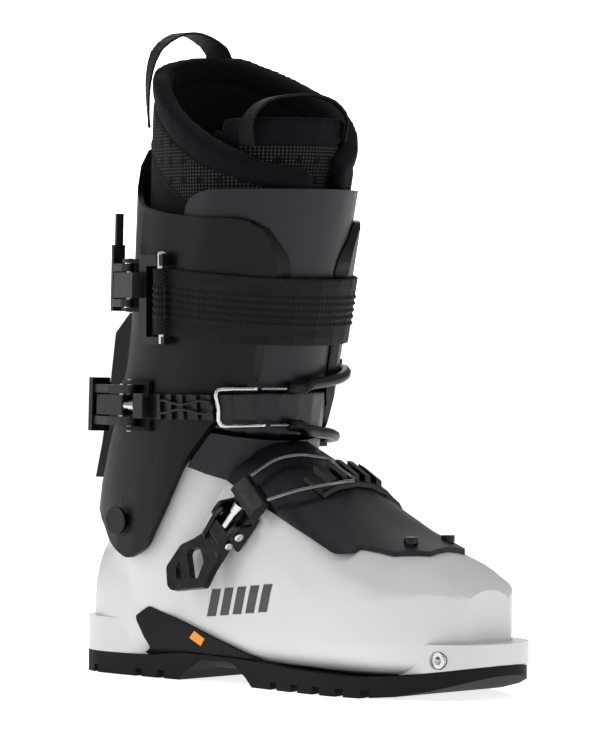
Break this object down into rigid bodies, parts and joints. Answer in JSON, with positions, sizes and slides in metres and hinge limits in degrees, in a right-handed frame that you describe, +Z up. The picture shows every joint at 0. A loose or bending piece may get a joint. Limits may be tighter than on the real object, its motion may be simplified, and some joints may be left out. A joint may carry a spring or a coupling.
{
  "type": "alpine touring boot",
  "caption": "Alpine touring ski boot: rigid shell on a lugged sole, hinged cuff with walk lever, wire and strap buckles, and a padded removable liner.",
  "frame": {"origin": "flat centre of the heel tread, on the floor, in the boot's middle plane", "axes": "+X forwards to the toe, +Y to the boot's inner (medial) side, +Z up"},
  "size_m": [0.3001, 0.1222, 0.3507],
  "materials": {
    "shell_plastic": "satin white moulded polyamide with a soft gloss",
    "tongue_plastic": "dark navy moulded plastic with a fine brushed sheen",
    "cuff_plastic": "dark charcoal moulded plastic, satin",
    "buckle_alloy": "black coated alloy, satin",
    "steel": "bright machined steel",
    "sole_rubber": "matt black lugged rubber",
    "sleeve_rubber": "satin black rubber sleeve",
    "liner_fabric": "black brushed knit over foam, mesh panels",
    "webbing": "black woven webbing with ribs"
  },
  "bodies": {
    "shell": {"lower_shell": "shell_plastic", "outsole": "sole_rubber", "toe_pin_socket_lateral": "steel", "toe_pin_socket_medial": "steel", "heel_binding_plate": "steel", "heel_plate_screw": "steel", "boot_board": "cuff_plastic", "tongue_lower": "tongue_plastic", "tongue_screw_lateral": "buckle_alloy", "tongue_screw_medial": "buckle_alloy", "liner_foot": "liner_fabric", "liner_ankle": "liner_fabric", "footbed": "liner_fabric", "lock_catch": "steel", "instep_buckle_base": "buckle_alloy", "instep_lever_pin_upper": "steel", "instep_lever_pin_lower": "steel", "instep_rack": "buckle_alloy"},
    "cuff": {"cuff": "cuff_plastic", "cuff_pivot_lateral": "buckle_alloy", "cuff_pivot_medial": "buckle_alloy", "tongue_flex": "tongue_plastic", "tongue_upper": "tongue_plastic", "liner_cuff": "liner_fabric", "liner_tongue": "liner_fabric", "rear_pull_loop": "webbing", "tongue_pull_loop": "webbing", "spine_housing": "cuff_plastic", "spine_rivet_lower": "steel", "spine_rivet_upper": "steel", "walk_lever_pin": "steel", "cuff_buckle_base": "buckle_alloy", "cuff_lever_pin_upper": "steel", "cuff_lever_pin_lower": "steel", "cable_sleeve_upper": "sleeve_rubber", "cable_sleeve_lower": "sleeve_rubber", "cable_anchor_upper": "buckle_alloy", "cable_anchor_lower": "buckle_alloy", "power_strap": "webbing", "strap_pin": "steel", "strap_anchor": "buckle_alloy", "strap_buckle_base": "buckle_alloy", "strap_lever_pin": "steel"},
    "walk_lever": {"walk_lever": "buckle_alloy"},
    "cuff_lever": {"cuff_lever": "buckle_alloy", "cuff_link_pin": "steel"},
    "cuff_rack": {"cuff_adjuster_block": "buckle_alloy", "cuff_rack": "buckle_alloy"},
    "cuff_adjuster": {"cuff_adjuster": "steel"},
    "cuff_bail": {"bail_wire": "steel", "cable_upper": "buckle_alloy", "cable_lower": "buckle_alloy"},
    "strap_lever": {"strap_lever": "buckle_alloy"},
    "strap_frame": {"strap_frame": "buckle_alloy"},
    "instep_lever": {"instep_lever": "buckle_alloy", "instep_link_pin": "steel"},
    "instep_block": {"instep_adjuster_block": "buckle_alloy"},
    "instep_adjuster": {"instep_adjuster": "steel"},
    "instep_wire": {"instep_yoke": "buckle_alloy", "instep_wire": "steel"}
  },
  "joints": [
    {"name": "cuff_flex", "type": "hinge", "parent": "shell", "child": "cuff", "pos_m": [0.02, 0, 0.085], "axis": [0, 1, 0], "range_deg": [-18, 3], "deforming": ["liner_ankle", "tongue_flex"]},
    {"name": "walk_lever", "type": "hinge", "parent": "cuff", "child": "walk_lever", "pos_m": [-0.0175, 0, 0.166], "axis": [0, 1, 0], "range_deg": [-6, 100]},
    {"name": "strap_lever", "type": "hinge", "parent": "cuff", "child": "strap_lever", "pos_m": [0.0314, -0.05045, 0.21213], "axis": [0.0089, 0.0188, 0.9998], "range_deg": [0, 110]},
    {"name": "strap_frame", "type": "hinge", "parent": "cuff", "child": "strap_frame", "pos_m": [0.065, -0.0588, 0.205], "axis": [0, -0.0229, 0.9997], "range_deg": [0, 60]},
    {"name": "cuff_lever", "type": "hinge", "parent": "cuff", "child": "cuff_lever", "pos_m": [0.0375, -0.05592, 0.1477], "axis": [0.0065, 0.0278, 0.9996], "range_deg": [0, 110]},
    {"name": "cuff_rack", "type": "hinge", "parent": "cuff_lever", "child": "cuff_rack", "pos_m": [0.02966, -0.05431, 0.14771], "axis": [0.0065, 0.0278, 0.9996], "range_deg": [-110, 0]},
    {"name": "cuff_bail", "type": "hinge", "parent": "cuff", "child": "cuff_bail", "pos_m": [0.1136, -0.0127, 0.157], "axis": [0.1063, -0.1823, 0.9775], "range_deg": [0, 20]},
    {"name": "cuff_adjuster", "type": "hinge", "parent": "cuff_rack", "child": "cuff_adjuster", "pos_m": [0.04038, -0.05679, 0.14771], "axis": [-0.9742, 0.2257, 0], "continuous": true},
    {"name": "instep_lever", "type": "hinge", "parent": "shell", "child": "instep_lever", "pos_m": [0.10394, -0.04639, 0.087], "axis": [-0.7928, 0.1962, 0.5771], "range_deg": [0, 85]},
    {"name": "instep_block", "type": "hinge", "parent": "instep_lever", "child": "instep_block", "pos_m": [0.09909, -0.04764, 0.08076], "axis": [-0.7928, 0.1962, 0.5771], "range_deg": [-90, 0]},
    {"name": "instep_wire", "type": "hinge", "parent": "shell", "child": "instep_wire", "pos_m": [0.145, -0.00325, 0.1182], "axis": [-0.7928, 0.1962, 0.5771], "range_deg": [0, 12]},
    {"name": "instep_adjuster", "type": "hinge", "parent": "instep_block", "child": "instep_adjuster", "pos_m": [0.10573, -0.0462, 0.0894], "axis": [-0.6045, -0.131, -0.7858], "continuous": true}
  ],
  "couplings": [
    {"joint": "strap_frame", "follows": "strap_lever", "ratio": 0.5},
    {"joint": "cuff_rack", "follows": "cuff_lever", "ratio": -0.94},
    {"joint": "cuff_bail", "follows": "cuff_lever", "ratio": 0.17},
    {"joint": "instep_block", "follows": "instep_lever", "ratio": -0.89},
    {"joint": "instep_wire", "follows": "instep_lever", "ratio": 0.11}
  ]
}
